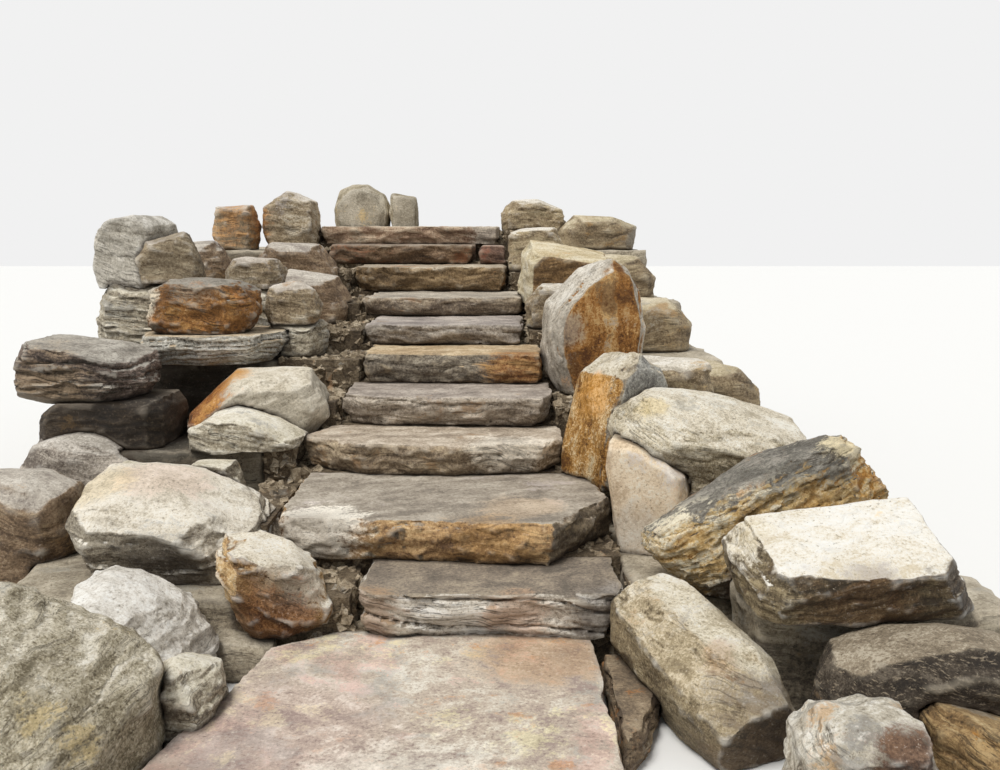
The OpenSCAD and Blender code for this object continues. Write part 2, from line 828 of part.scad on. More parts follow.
landing_slab();
landing_chip();
step_1();
step_2();
step_3();
step_4();
step_5();
step_6();
step_7();
step_8();
step_9();
step_9_blocks();
step_10();
rubble_core();
base_course_1();
base_course_2();
base_course_3();
base_course_4();
base_course_5();
right_curb_block();
right_corner_boulder();
right_outer_boulder();
right_speckled_boulder();
right_pale_block();
right_flaky_slab();
right_upright_slab();
right_speckled_slab();
right_leaning_slab();
right_pointed_slab();
right_square_block();
right_upper_stones();
right_outer_stones();
left_front_boulder();
left_rusty_corner();
left_wavy_boulder();
left_broad_boulder();
left_small_stones();
left_sloping_boulder();
left_low_boulder();
left_bearing_boulder();
left_layered_boulder();
left_cave_slab();
left_rusty_boulder();
left_high_boulder();
left_upper_stones();
left_outer_stones();
top_stones();
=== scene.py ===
import math

import bpy
import numpy as np
from mathutils import Euler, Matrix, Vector
from mathutils.bvhtree import BVHTree


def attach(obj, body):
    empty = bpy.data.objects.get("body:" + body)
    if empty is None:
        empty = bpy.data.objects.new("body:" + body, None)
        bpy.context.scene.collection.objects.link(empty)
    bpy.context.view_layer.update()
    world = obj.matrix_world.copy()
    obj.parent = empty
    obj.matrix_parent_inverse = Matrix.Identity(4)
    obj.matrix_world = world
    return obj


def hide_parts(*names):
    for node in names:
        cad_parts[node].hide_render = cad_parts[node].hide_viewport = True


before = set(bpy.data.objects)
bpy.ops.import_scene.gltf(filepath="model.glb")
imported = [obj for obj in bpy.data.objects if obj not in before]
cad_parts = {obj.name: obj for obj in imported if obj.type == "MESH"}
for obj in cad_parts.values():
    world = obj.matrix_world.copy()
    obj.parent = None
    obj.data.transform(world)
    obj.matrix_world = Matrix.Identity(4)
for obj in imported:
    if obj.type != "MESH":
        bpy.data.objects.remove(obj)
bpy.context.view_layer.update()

# The landing: one broad flagstone split along its bed, worn nearly smooth, that lies flat at the
# foot of the flight. Its skin is a mottle of pink, straw, buff and grey over a fine grit, and its
# edges were broken off with a hammer.


def tint(code):
    """The linear colour of a web colour such as #c8b89a."""
    parts = [int(code[i:i + 2], 16) / 255 for i in (1, 3, 5)]
    return tuple(p / 12.92 if p < 0.04045 else ((p + 0.055) / 1.055) ** 2.4 for p in parts) + (1.0,)


def alone(piece):
    """Selects this piece and nothing else."""
    bpy.ops.object.select_all(action="DESELECT")
    piece.select_set(True)
    bpy.context.view_layer.objects.active = piece


def stones_of(node):
    """Copies of the solids of a node, one object for each stone, with their corners welded."""
    bpy.ops.object.select_all(action="DESELECT")
    block = bpy.data.objects.new(node + "_stone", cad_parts[node].data.copy())
    bpy.context.scene.collection.objects.link(block)
    alone(block)
    bpy.ops.object.mode_set(mode="EDIT")
    bpy.ops.mesh.select_all(action="SELECT")
    bpy.ops.mesh.remove_doubles(threshold=0.00005)
    bpy.ops.mesh.separate(type="LOOSE")
    bpy.ops.object.mode_set(mode="OBJECT")
    return sorted(bpy.context.selected_objects, key=lambda stone: stone.name)


def shape(piece, kind, **settings):
    """Adds a modifier with these settings and applies it."""
    step = piece.modifiers.new(kind.lower(), kind)
    for name, setting in settings.items():
        setattr(step, name, setting)
    alone(piece)
    bpy.ops.object.modifier_apply(modifier=step.name)


def relief(piece, kind, size, depth, turn=(0, 0, 0), group="", **look):
    """Raises and sinks a stone's skin by a pattern of that size, turned as its beds are."""
    bpy.ops.object.empty_add(location=(0, 0, 0), rotation=[math.radians(a) for a in turn])
    grid = bpy.context.object
    grid.scale = size
    bpy.context.view_layer.update()
    pattern = bpy.data.textures.new("pattern", kind)
    pattern.noise_scale = 1.0
    for name, setting in look.items():
        setattr(pattern, name, setting)
    shape(piece, "DISPLACE", texture=pattern, texture_coords="OBJECT", texture_coords_object=grid,
          strength=depth, mid_level=0.5, vertex_group=group)
    bpy.data.objects.remove(grid)
    bpy.data.textures.remove(pattern)


def bed_frame(turn):
    """The turn that lays the z axis square to a stone's beds."""
    return Euler([math.radians(a) for a in turn]).to_matrix()


def skin_of(piece):
    """The places and the normals of a mesh's corners."""
    places, normals = (np.empty(len(piece.data.vertices) * 3) for _ in range(2))
    piece.data.vertices.foreach_get("co", places)
    piece.data.vertices.foreach_get("normal", normals)
    return places.reshape(-1, 3), normals.reshape(-1, 3)


def waves(places, length, chance, count=7):
    """Smooth random swells of about that length, between -1 and 1."""
    ways = chance.normal(size=(count, places.shape[1]))
    pitch = 2 * math.pi / length * chance.uniform(0.6, 1.7, (count, 1))
    ways *= pitch / np.linalg.norm(ways, axis=1)[:, None]
    return np.sin(places @ ways.T + chance.uniform(0, 2 * math.pi, count)).mean(1) * 1.8


def bring_out_beds(stone, turn, thick, depth, wander, blocks, chance):
    """Where beds end at the skin, each stands proud by its own amount, which changes along it, with
    a groove at its edge. With blocks, the beds are also broken off in lengths."""
    places, normals = skin_of(stone)
    most, cells = 400, 997
    axes = np.array(bed_frame(turn))
    flat = places @ axes
    rise = flat[:, 2] + wander * thick * waves(flat, 0.55, chance) + 0.25 * thick * waves(flat, 0.14, chance)
    edges = rise.min() + np.cumsum(thick * np.exp(chance.normal(0, 0.45, most)))
    bed = np.searchsorted(edges, rise)
    gap = np.minimum(edges[bed] - rise, rise - np.where(bed > 0, edges[bed - 1], rise - thick))
    ways = chance.normal(size=(3, 2))
    ways *= 2 * math.pi / np.array([[0.5], [0.26], [0.13]]) / np.linalg.norm(ways, axis=1)[:, None]
    turns = chance.uniform(0, 2 * math.pi, (most + 1, 3))
    proud = chance.uniform(-1, 1, most + 1)[bed] * 0.6
    proud += np.sin(flat[:, :2] @ ways.T + turns[bed]) @ (0.35, 0.3, 0.2)
    if blocks:
        length = 0.16 * np.exp(chance.normal(0, 0.3, most + 1))
        lean = chance.uniform(0, math.pi, most + 1)
        along = flat[:, 0] * np.cos(lean)[bed] + flat[:, 1] * np.sin(lean)[bed]
        cell = np.floor(along / length[bed] + turns[bed, 0] + 0.25 * waves(flat, 0.1, chance)).astype(int)
        proud += blocks * chance.uniform(-1, 1, cells)[(cell * 131 + bed * 17) % cells]
    nearer = bed + (edges[bed] - rise < thick * 0.3)
    groove = chance.uniform(0, 1, most + 2)[nearer] * np.exp(-(gap / (0.15 * thick)) ** 2)
    across = np.clip((0.92 - np.abs(normals @ axes[:, 2])) / 0.4, 0, 1)
    move = depth * across * (proud * 0.6 - groove * 0.9)
    stone.data.vertices.foreach_set("co", (places + normals * move[:, None]).ravel())
    stone.data.update()


def weather(stone, grain, turn=(0, 0, 0), swell=0.014, scallop=(0.19, 0.014), beds=(0.05, 0.010), wander=0.6,
            blocks=0.0, soft=2, grit=0.004, seed=1):
    """Gives one stone its broken skin: broad swells, scallops with sharp ridges between them, the ends
    of its beds, and grit."""
    chance = np.random.default_rng(seed)
    shape(stone, "REMESH", mode="VOXEL", voxel_size=grain)
    shape(stone, "SMOOTH", factor=0.5, iterations=soft)
    relief(stone, "CLOUDS", (0.42, 0.42, 0.3), swell, turn, noise_depth=2)
    broken = stone.vertex_groups.new(name="broken")
    across = np.clip((0.97 - np.abs(skin_of(stone)[1] @ np.array(bed_frame(turn))[:, 2])) / 0.3, 0, 1)
    for level in range(11):
        broken.add(np.nonzero(np.round(across * 10) == level)[0].tolist(), 0.25 + 0.075 * level, "REPLACE")
    size, depth = scallop
    relief(stone, "VORONOI", (size, size, size * 0.7), depth, turn, "broken",
           distance_metric="DISTANCE_SQUARED", noise_intensity=1.6)
    relief(stone, "VORONOI", (size * 0.37, size * 0.37, size * 0.26), depth * 0.4, turn, "broken",
           distance_metric="DISTANCE_SQUARED", noise_intensity=1.6)
    bring_out_beds(stone, turn, *beds, wander, blocks, chance)
    relief(stone, "CLOUDS", (0.045, 0.045, 0.03), grit, turn, noise_depth=2)
    stone.vertex_groups.clear()


def lift_to_floor(piece):
    """Brings up to the floor the corners that would lie under it."""
    places, _ = skin_of(piece)
    places[:, 2] = np.maximum(places[:, 2], 0.0)
    piece.data.vertices.foreach_set("co", places.ravel())
    piece.data.update()


def gather(stones, node, name, keep):
    """Joins the stones of one node, notes for each corner how far the skin bulges out or sinks in there
    (for a painted highlight on ridges and painted shade in hollows) and how near the next stone comes
    (for painted shade where stones meet), and then keeps only a share of the faces, most of them at the
    ridges."""
    alone(stones[0])
    for stone in stones:
        stone.select_set(True)
    if len(stones) > 1:
        bpy.ops.object.join()
    piece = bpy.context.object
    piece.name = name
    lift_to_floor(piece)
    places, normals = skin_of(piece)
    ends = np.empty(len(piece.data.edges) * 2, dtype=int)
    piece.data.edges.foreach_get("vertices", ends)
    a, b = ends.reshape(-1, 2).T
    around = np.bincount(np.concatenate([a, b]), minlength=len(places)).clip(1)[:, None]

    def mean(field):
        """The mean of a field over the corners next to each corner."""
        return np.stack([np.bincount(a, c[b], len(places)) + np.bincount(b, c[a], len(places))
                         for c in field.T], 1) / around

    step = np.linalg.norm(places[a] - places[b], axis=1).mean()
    worn = ((places - mean(mean(mean(places)))) * normals).sum(1)[:, None] / step
    near = BVHTree.FromPolygons(*surroundings(node))
    reach = 0.05
    gap = np.array([reach if away is None else away
                    for away in (near.find_nearest(Vector(place), reach)[3] for place in places)])
    for label, values in (("worn", mean(worn)[:, 0]), ("joint", 1 - gap / reach)):
        note = piece.data.attributes.new(label, "FLOAT", "POINT")
        note.data.foreach_set("value", values.astype(np.float32))
    shape(piece, "DECIMATE", ratio=keep)
    lift_to_floor(piece)
    bpy.ops.object.shade_smooth_by_angle(angle=math.radians(60))
    return piece


def surroundings(node):
    """The corners and faces of every other node, as one mesh."""
    corners, faces = [], []
    for name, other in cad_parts.items():
        if name != node:
            faces += [[i + len(corners) for i in face.vertices] for face in other.data.polygons]
            corners += [corner.co.copy() for corner in other.data.vertices]
    return corners, faces


def settle(piece, slot, *nodes):
    """The piece stands for its nodes and belongs to the one fixed body."""
    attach(piece, "root")
    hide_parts(*nodes)


class Wire:
    """A socket of a material's nodes, so that a finish is written as sums."""

    def __init__(self, tree, socket=None):
        self.tree = tree
        self.socket = socket

    def node(self, kind, values=None, out=0, stops=None, **settings):
        """Adds a node: its settings, then its ramp's stops, then its sockets' values or links."""
        made = self.tree.nodes.new("ShaderNode" + kind)
        for name, setting in settings.items():
            setattr(made, name, setting)
        if stops:
            ramp = made.color_ramp
            while len(ramp.elements) < len(stops):
                ramp.elements.new(0.5)
            for element, (place, colour) in zip(ramp.elements, stops):
                element.position = place
                element.color = colour
        for name, value in (values or {}).items():
            if isinstance(value, Wire):
                self.tree.links.new(value.socket, made.inputs[name])
            else:
                made.inputs[name].default_value = value
        return Wire(self.tree, made.outputs[out])

    def maths(self, operation, a, b):
        return self.node("Math", {0: a, 1: b}, operation=operation)

    def __add__(self, other):
        return self.maths("ADD", self, other)

    def __sub__(self, other):
        return self.maths("SUBTRACT", self, other)

    def __rsub__(self, other):
        return self.maths("SUBTRACT", other, self)

    def __mul__(self, other):
        return self.maths("MULTIPLY", self, other)

    def __abs__(self):
        return self.node("Math", {0: self}, operation="ABSOLUTE")

    def step(self, low, high):
        """0 below low and 1 above high, with a smooth change between them."""
        return self.node("MapRange", {"Value": self, "From Min": low, "From Max": high},
                         interpolation_type="SMOOTHSTEP")

    def spread(self, factors):
        """A place stretched along its three axes."""
        return self.node("VectorMath", {0: self, 1: factors}, operation="MULTIPLY")

    def moved(self, other):
        """A place moved by another vector."""
        return self.node("VectorMath", {0: self, 1: other}, operation="ADD")

    def toward(self, direction):
        """How far a normal faces that way."""
        return self.node("VectorMath", {0: self, 1: Vector(direction).normalized()}, out=1,
                         operation="DOT_PRODUCT")

    def noise(self, scale, detail=4.0, roughness=0.55, out=0):
        return self.node("TexNoise", {"Vector": self, "Scale": scale, "Detail": detail,
                                      "Roughness": roughness}, out=out)

    def blend(self, low, high):
        """Mixes two colours, where this value is the share of the second."""
        return self.node("Mix", {0: self, 6: low, 7: high}, out=2, data_type="RGBA")

    def tinge(self, code):
        """A colour, made darker or lighter by this value."""
        return self.node("VectorMath", {0: tint(code)[:3], "Scale": self}, operation="SCALE")

    def shade(self, colours):
        """Dark, middle and light colours laid over this tone."""
        return self.node("ValToRGB", {0: self}, stops=list(zip((0.12, 0.5, 0.88), map(tint, colours))))


def paint(piece, name, top, face, turn=(0, 0, 0), flow=(2.0, 6.0, 26.0), patches=(), sides=(), spots=(),
          seams=0.5, grains=0.5, flecks=0.0, specks=0.45, hollows=0.65, dirt_and_shade="#3a2d22", rough=1.0, shift=0.0):
    """A schist finish. Faces along the beds take the colours of top, and broken ones those of face.
    Each of sides colours what faces that way, some of them with painted shade, each of patches is a second
    hue in blotches, and each of spots is one stain or one patch of painted shade, in one colour or three,
    placed by its shares of the piece's box. Ridges get a painted highlight, hollows and the skin near
    other stones get painted shade mixed with dirt, and faces that look down get painted shade."""
    finish = bpy.data.materials.new(name)
    finish.use_nodes = True
    tree = finish.node_tree
    shader = tree.nodes["Principled BSDF"]
    start = Wire(tree)
    place = start.node("TexCoord", out=3)
    facing = start.node("TexCoord", out=1)
    worn = start.node("Attribute", out=2, attribute_name="worn")
    joint = start.node("Attribute", out=2, attribute_name="joint")
    beds = place.node("Mapping", {"Vector": place, "Location": (shift, shift * 0.7, shift * 0.3),
                                  "Rotation": bed_frame(turn).inverted().to_euler()})
    bent = beds.moved(beds.noise(1.6, 3.0, out=1).spread((0.3, 0.3, 0.3)))
    broad = bent.noise(1.9, 4.0, 0.6)
    mottle = bent.noise(8.0, 6.0, 0.65)
    streak = bent.spread(flow).noise(1.0, 9.0, 0.66)
    grit = place.noise(70.0, 5.0, 0.75)
    grain = place.node("TexVoronoi", {"Vector": place, "Scale": 190.0}, out=1)
    grain = grain.toward((1, 1, 1)) * 0.58
    line = abs(bent.spread((3.0, 3.0, 46.0)).noise(1.0, 4.0, 0.6) - 0.5) * 34.0
    seam = (1.0 - line).step(0.0, 0.9) * mottle.step(0.42, 0.6)

    off_beds = 1.0 - abs(facing.toward(bed_frame(turn) @ Vector((0, 0, 1))))
    broken = (off_beds + (mottle - 0.5) * 0.5).step(0.14, 0.36)
    tone = ((broad - 0.5) * 0.9 + (mottle - 0.5) * 1.2 + (streak - 0.5) * 1.9 + (grit - 0.5) * 1.5
            + (grain - 0.5) * (0.6 * grains) + 0.5)
    lift = tone * 0.8 + 0.6
    colour = broken.blend(tone.shade(top), tone.shade(face))
    for number, (code, share, size) in enumerate(patches):
        blotch = bent.moved((number * 3.7 + 1.1, number * 1.9, 2.3)).noise(size, 5.0, 0.66)
        cover = blotch + (streak - 0.5) * 0.5 + (grit - 0.5) * 0.4
        cover = cover.step(0.71 - 0.35 * share, 0.79 - 0.35 * share)
        hue = lift.tinge(code)
        colour = (cover * 0.7).blend(colour, hue)
    for direction, colours in sides:
        cover = (facing.toward(direction) + (mottle - 0.5) * 0.35).step(0.5, 0.72)
        colour = cover.blend(colour, tone.shade(colours))
    low, high = ([f(corner[i] for corner in piece.bound_box) for i in range(3)] for f in (min, max))
    for shares, radius, code, amount in spots:
        centre = [low[i] + (high[i] - low[i]) * shares[i] for i in range(3)]
        reach = bent.node("VectorMath", {0: place, 1: centre}, out=1, operation="DISTANCE")
        cover = 1.0 - reach * (1.0 / radius) + (mottle - 0.5) * 1.2
        cover = (cover + (streak - 0.5) * 1.6 + (grit - 0.5) * 1.0).step(0.0, 0.45)
        if isinstance(code, tuple):
            hue = tone.shade(code)
        else:
            hue = lift.tinge(code)
        colour = (cover * amount).blend(colour, hue)
    if flecks:
        pale = bent.spread((40.0, 40.0, 150.0)).noise(1.0, 3.0, 0.6).step(0.57, 0.67)
        colour = (pale * flecks).blend(colour, tint(top[1]))
    # One dark colour serves the cracks and dark specks, and also the painted shade below.
    dirt_and_shade_tint = tint(dirt_and_shade)
    under = (0.0 - facing.toward((0, 0, 1))).step(0.0, 0.75)
    colour = (seam * (broken * 0.6 + 0.25) * seams).blend(colour, dirt_and_shade_tint)
    colour = (grit.step(0.58, 0.68) * (0.4 - broken * 0.22)).blend(colour, tint(top[2]))
    colour = ((1.0 - grit).step(0.58, 0.66) * specks).blend(colour, dirt_and_shade_tint)
    # Painted highlight: where the skin bulges out at ridges it is lightened towards the palest colour, partly
    # for the paler broken edges.
    colour = (worn.step(0.08, 0.5) * 0.45).blend(colour, tint(top[2]))
    # Painted shade mixed with dirt: hollows in the skin are darkened.
    colour = ((0.0 - worn).step(0.12, 0.65) * hollows).blend(colour, dirt_and_shade_tint)
    # Painted shade: faces that look down are darkened.
    colour = (under * 0.40).blend(colour, dirt_and_shade_tint)
    # Painted shade mixed with dirt: the skin is darkened where the next stone comes near.
    colour = ((joint + (mottle - 0.5) * 0.8).step(0.35, 1.0) * 0.7).blend(colour, dirt_and_shade_tint)

    height = (streak * 0.010 + seam * (-0.006 * seams)) * (broken * 0.8 + 0.2) + mottle * 0.007 + grit * 0.006
    height = (height + grain * (0.0016 * grains)) * rough
    normal = height.node("Bump", {"Strength": 1.0, "Distance": 1.0, "Height": height})
    for socket, value in (("Base Color", colour), ("Roughness", grit * 0.3 + 0.65), ("Normal", normal)):
        tree.links.new(value.socket, shader.inputs[socket])
    shader.inputs["Specular IOR Level"].default_value = 0.35
    piece.data.materials.clear()
    piece.data.materials.append(finish)


def dress(node, name, grain, keep=0.49, **skin):
    """The stones of a node with their broken skin, as one piece. keep is the share of faces left."""
    stones = stones_of(node)
    for number, stone in enumerate(stones):
        weather(stone, grain, seed=len(node) * 7 + number, **skin)
    return gather(stones, node, name, keep)


landing = dress("landing_slab", "landing", 0.011, swell=0.006, scallop=(0.2, 0.010), beds=(0.05, 0.012),
                grit=0.0022)
paint(landing, "landing_flag", ("#a5938a", "#c9baa8", "#ede7d9"), ("#57453a", "#8a715b", "#b9a186"),
      flow=(7.0, 9.0, 24.0), seams=0.2, rough=0.9, specks=0.35,
      patches=(("#c5a699", 0.5, 2.2), ("#aaa69e", 0.48, 3.6), ("#d6cba6", 0.42, 3.0), ("#bd8d66", 0.28, 6.0)),
      spots=(((0.22, 0.45, 1.0), 0.50, "#c9ada5", 0.35), ((0.84, 0.84, 1.0), 0.30, "#b08658", 0.5),
             ((0.55, 0.22, 1.0), 0.40, "#e8e1d4", 0.5), ((0.06, 0.20, 1.0), 0.26, "#86705f", 0.45)))
settle(landing, "reddish_flagstone", "landing_slab")

# The corner chip: a dark, layered piece of the same bed, wedged between the landing and the right
# bank. Its beds tilt to the right and come out as thin ledges.
lie = (0, 12, 0)
chip = dress("landing_chip", "landing_corner_chip", 0.008, turn=lie, scallop=(0.12, 0.010),
             beds=(0.022, 0.010), blocks=0.5)
paint(chip, "chip_schist", ("#65584a", "#8f7d66", "#b5a389"), ("#46392e", "#75634f", "#9c886c"), lie,
      patches=(("#a06c3c", 0.4, 5.0), ("#8b8a84", 0.3, 4.0)), seams=0.8)
settle(chip, "layered_schist", "landing_chip")

# Tread 1: a thick slab whose broken front shows its beds as flowing cream bands, with dark fissures
# that slant down to the right. Its top is worn smooth and grey with a lilac cast.
lie = (0, 4, 0)
tread = dress("step_1", "tread_1", 0.008, turn=lie, swell=0.010, scallop=(0.16, 0.010), beds=(0.034, 0.020),
              wander=1.0, blocks=0.15)
paint(tread, "tread_1_schist", ("#6a6258", "#8d8173", "#b2a48f"), ("#998e80", "#e6dfd2", "#f8f5ee"), lie,
      flow=(1.3, 6.0, 30.0), seams=0.8, hollows=0.45,
      spots=(((0.02, 0.0, 0.4), 0.20, "#97795c", 0.7), ((0.60, 0.0, 0.45), 0.15, "#bf9676", 0.5),
             ((0.95, 0.0, 0.5), 0.20, "#928c86", 0.7)))
settle(tread, "layered_schist", "step_1")

# Tread 2: the widest slab of the lower flight, with a skewed right end. It was split square across
# its beds, so the front is one rough plane from grey through ochre to gold.
lie = (0, 1, 20)
tread = dress("step_2", "tread_2", 0.009, turn=lie, swell=0.010, scallop=(0.075, 0.010), beds=(0.06, 0.007))
paint(tread, "tread_2_schist", ("#837a6e", "#a89d8e", "#cbc2b3"), ("#735840", "#bd986b", "#ebcc9b"), lie,
      flow=(1.1, 9.0, 22.0), seams=0.4,
      sides=(((0.85, -0.55, 0.0), ("#3f372e", "#685c4c", "#94866f")),),
      patches=(("#b0a5a0", 0.35, 2.2),),
      spots=(((0.13, 0.06, 1.0), 0.27, "#f0e9db", 0.9),
             ((0.08, 0.0, 0.5), 0.24, ("#8c8277", "#b5ab9d", "#ddd5c8"), 0.9),
             ((0.62, 0.0, 0.4), 0.22, "#c0945a", 0.45), ((0.72, 0.3, 1.0), 0.22, "#c4a683", 0.35)))
settle(tread, "grey_schist", "step_2")

# Treads 3 and 4: slabs with a bowed, rough front below a thin cream edge. Fine dark seams run along
# their tops, where the beds peel.
lie = (0, 1.5, 6)
tread = dress("step_3", "tread_3", 0.009, turn=lie, scallop=(0.12, 0.015), beds=(0.045, 0.010), blocks=0.2)
paint(tread, "tread_3_schist", ("#8b7d6d", "#bbab97", "#e2d6c4"), ("#5f5141", "#9b8972", "#cfbc9e"), lie,
      flow=(3.6, 8.0, 22.0), seams=0.7, patches=(("#8f6f4c", 0.3, 4.0),),
      spots=(((0.8, 0.1, 1.0), 0.25, "#e4dccd", 0.6),), shift=3.1)
settle(tread, "streaked_schist", "step_3")
tread = dress("step_4", "tread_4", 0.010, turn=lie, scallop=(0.12, 0.012), beds=(0.05, 0.012), blocks=0.2)
paint(tread, "tread_4_schist", ("#7f766d", "#a2968b", "#c9beb1"), ("#62584c", "#a79a8a", "#dacebd"), lie,
      flow=(3.6, 8.0, 22.0), seams=0.5, patches=(("#8a6d4e", 0.2, 4.0),), shift=6.2)
settle(tread, "streaked_schist", "step_4")

# Tread 5: a grey slab, layered in front, with a buff-orange arris and the right third of its front
# rusted brown. It is bedded on the back of tread 4.
tread = dress("step_5", "tread_5", 0.011, turn=lie, scallop=(0.1, 0.014), beds=(0.05, 0.009), blocks=0.3)
paint(tread, "tread_5_schist", ("#937f65", "#baa07c", "#dcc9a8"), ("#433c34", "#7d7365", "#b5aa97"), lie,
      flow=(2.4, 8.0, 30.0), seams=0.7,
      spots=(((0.86, 0.0, 0.45), 0.24, ("#4f2f1a", "#94602f", "#c99a5c"), 0.85),), shift=9.3)
settle(tread, "ochre_schist", "step_5")

# Treads 6 and 7: plain grey slabs of the middle flight, thinly layered in front. Each is bedded on
# the back of the slab below.
tread = dress("step_6", "tread_6", 0.012, turn=lie, scallop=(0.14, 0.010), beds=(0.04, 0.012), blocks=0.2)
paint(tread, "tread_6_schist", ("#837a75", "#a89e96", "#cbc1b6"), ("#5f574e", "#988e82", "#c8bfb1"), lie,
      flow=(3.6, 8.0, 22.0), patches=(("#86694b", 0.2, 4.0),), shift=12.4)
settle(tread, "grey_schist", "step_6")
tread = dress("step_7", "tread_7", 0.012, turn=lie, scallop=(0.14, 0.016), beds=(0.05, 0.010), blocks=0.3)
paint(tread, "tread_7_schist", ("#8a8177", "#b3a999", "#d6ccbc"), ("#5f5246", "#9d8c76", "#cfbfa7"), lie,
      flow=(3.6, 8.0, 22.0), patches=(("#8b6544", 0.35, 3.0),), shift=15.5)
settle(tread, "grey_schist", "step_7")

# Tread 8: a buff slab with a brown, broken front. It is bedded on the back of tread 7 and set
# askew to the left.
tread = dress("step_8", "tread_8", 0.013, turn=lie, scallop=(0.12, 0.015), beds=(0.05, 0.010), blocks=0.3)
paint(tread, "tread_8_schist", ("#8c7f6d", "#b0a28d", "#d3c7b1"), ("#54432f", "#877051", "#b79d78"), lie,
      flow=(3.6, 8.0, 22.0), patches=(("#9a6b40", 0.4, 3.0), ("#8b8780", 0.35, 2.2)), shift=18.6)
settle(tread, "ochre_schist", "step_8")

# Tread 9: a dark rusty slab, bedded on the back of tread 8, and two short reddish blocks that
# lengthen it to the right.
tread = dress("step_9", "tread_9", 0.013, turn=lie, scallop=(0.12, 0.015), beds=(0.05, 0.009), blocks=0.4)
paint(tread, "tread_9_schist", ("#6c5f52", "#8f8070", "#b3a592"), ("#4b3b2e", "#7f6750", "#ad9478"), lie,
      flow=(3.6, 8.0, 22.0), patches=(("#7d4a2c", 0.5, 2.4), ("#7f7b74", 0.3, 2.0)), shift=21.7)
settle(tread, "rusty_schist", "step_9")
blocks = dress("step_9_blocks", "tread_9_blocks", 0.012, scallop=(0.1, 0.012), beds=(0.05, 0.008))
paint(blocks, "tread_9_block_schist", ("#77655a", "#9a8576", "#bca895"), ("#4a3830", "#7a5f50", "#9f8573"),
      patches=(("#8a5540", 0.4, 4.0),), shift=24.8)
settle(blocks, "rusty_schist", "step_9_blocks")

# Tread 10: the long top slab, reddish brown and square in front below a thin cream edge. It is
# bedded on the back of tread 9.
tread = dress("step_10", "tread_10", 0.013, turn=lie, scallop=(0.12, 0.013), beds=(0.06, 0.007), blocks=0.3)
paint(tread, "tread_10_schist", ("#a08f7b", "#c5b59d", "#e2d7c2"), ("#856a57", "#c0a489", "#e8d6ba"), lie,
      flow=(3.6, 8.0, 22.0), patches=(("#96674f", 0.35, 2.4), ("#b3a48f", 0.3, 3.0)),
      spots=(((0.95, 0.0, 0.4), 0.25, "#d8cfbf", 0.7),), shift=27.9)
settle(tread, "reddish_schist", "step_10")

# The right bank starts with a long cream block that leans in against the landing. It was split from
# a coarse, granular bed, is crossed by a rusty band, and its low end is stained brown. Its left side
# is painted darker grey-tan as shade.
lie = (0, 24, 22)
bank = dress("right_curb_block", "right_curb_block_laid", 0.009, turn=lie, scallop=(0.15, 0.012),
             beds=(0.06, 0.006), grit=0.006)
paint(bank, "curb_granular_stone", ("#bbae94", "#ece2cb", "#f8f4ea"), ("#a19173", "#d3c2a3", "#f3e9d4"), lie,
      patches=(("#b8986c", 0.2, 5.0), ("#a59c8e", 0.35, 3.0)), grains=1.0, seams=0.4, rough=1.3,
      hollows=0.45,
      sides=(((-0.95, -0.3, -0.1), ("#665945", "#978769", "#c2b292")),
             ((0.35, -0.9, -0.35), ("#4a4034", "#786a57", "#a89a82"))),
      spots=(((0.60, 0.25, 0.85), 0.10, "#b3834f", 0.4), ((0.9, 0.1, 0.12), 0.32, "#5d4a36", 0.7)))
settle(bank, "cream_granular_stone", "right_curb_block")

# Beside it a knobbly corner stone of mixed colour: white, grey and ochre on the left, and a dark
# red-brown break on the right.
lie = (20, 10, 0)
bank = dress("right_corner_boulder", "right_corner_boulder_laid", 0.009, turn=lie, scallop=(0.13, 0.020),
             beds=(0.05, 0.012), blocks=0.4)
paint(bank, "corner_mixed_stone", ("#978d7c", "#cfc6b4", "#f6f2e8"), ("#776c5e", "#bdb3a0", "#eee8da"), lie,
      patches=(("#b9925f", 0.4, 4.0), ("#7f7a73", 0.4, 3.0), ("#f0ece3", 0.4, 5.0)), rough=1.4,
      spots=(((0.68, 0.02, 0.78), 0.15, ("#2e1e16", "#583c2b", "#86654b"), 0.95),), shift=1.7)
settle(bank, "mixed_stone", "right_corner_boulder")

# An ochre stone outside it, with grey and deeper ochre patches. It is laid with its beds standing
# steep, and they are worn into long grooves.
lie = (0, 35, 20)
bank = dress("right_outer_boulder", "right_outer_boulder_laid", 0.010, turn=lie,
             beds=(0.03, 0.014), wander=0.8)
paint(bank, "outer_grooved_stone", ("#80694a", "#a98e64", "#cdb88f"), ("#4d3c27", "#836845", "#b6986a"), lie,
      flow=(1.2, 6.0, 40.0), seams=0.9, patches=(("#aa7632", 0.35, 4.0), ("#8d867a", 0.3, 4.0)), shift=3.4)
settle(bank, "buff_stone", "right_outer_boulder")

# Behind them a broad low boulder, dark and full of pale flecks drawn out along its beds, with a
# worn grey top.
lie = (0, 6, 0)
bank = dress("right_speckled_boulder", "right_speckled_boulder_laid", 0.011, turn=lie, scallop=(0.2, 0.014),
             beds=(0.04, 0.007))
paint(bank, "broad_speckled_stone", ("#6f6352", "#988a75", "#c9bda8"), ("#251f19", "#40372d", "#6a6053"), lie,
      flecks=0.8, seams=0.3, grains=1.0, patches=(("#6b5439", 0.25, 3.0),), rough=1.3, shift=5.1,
      sides=(((0.1, -1.0, 0.35), ("#251f19", "#40372d", "#6a6053")),))
settle(bank, "speckled_stone", "right_speckled_boulder")

# The pale block: the brightest stone of the bank, split flat on top with thin ochre streaks along
# it, brown and rough in front, where a painted shade darkens that brown, and dark and layered at its right
# end.
lie = (12, -7, 5)
bank = dress("right_pale_block", "right_pale_block_laid", 0.009, turn=lie, scallop=(0.13, 0.010),
             beds=(0.04, 0.010))
